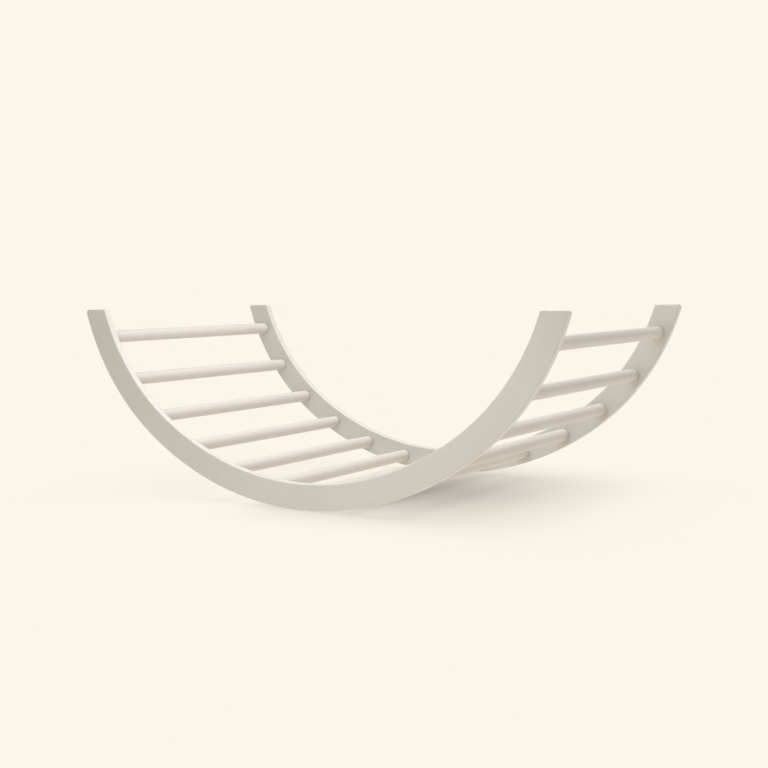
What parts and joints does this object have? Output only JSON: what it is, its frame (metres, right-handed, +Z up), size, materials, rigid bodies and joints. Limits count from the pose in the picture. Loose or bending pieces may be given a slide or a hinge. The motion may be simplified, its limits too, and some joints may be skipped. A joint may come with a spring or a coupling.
{
  "type": "rocking climbing arch",
  "caption": "Curved wooden rocker and climbing arch: two arched side rails joined by round rungs, resting on its curve for rocking and balancing.",
  "frame": {"origin": "on the floor under the lowest point of the arch, midway between the rails", "axes": "+X along the rails from the left tip to the right tip, +Y along the rungs from the front rail to the back rail, +Z up, with the arch resting on its curve"},
  "size_m": [1.1916, 0.624, 0.414],
  "materials": {
    "rail_paint": "satin warm off-white lacquer on birch plywood",
    "rung_paint": "satin warm off-white lacquer on turned beech",
    "plug_paint": "painted over flush with the rail",
    "screw_steel": "zinc plated"
  },
  "bodies": {
    "root": {"front_rail": "rail_paint", "back_rail": "rail_paint", "front_screws": "screw_steel", "back_screws": "screw_steel", "front_plugs": "plug_paint", "back_plugs": "plug_paint", "rung_01": "rung_paint", "rung_02": "rung_paint", "rung_03": "rung_paint", "rung_04": "rung_paint", "rung_05": "rung_paint", "rung_06": "rung_paint", "rung_07": "rung_paint", "rung_08": "rung_paint", "rung_09": "rung_paint", "rung_10": "rung_paint", "rung_11": "rung_paint", "rung_12": "rung_paint", "rung_13": "rung_paint"}
  },
  "joints": []
}
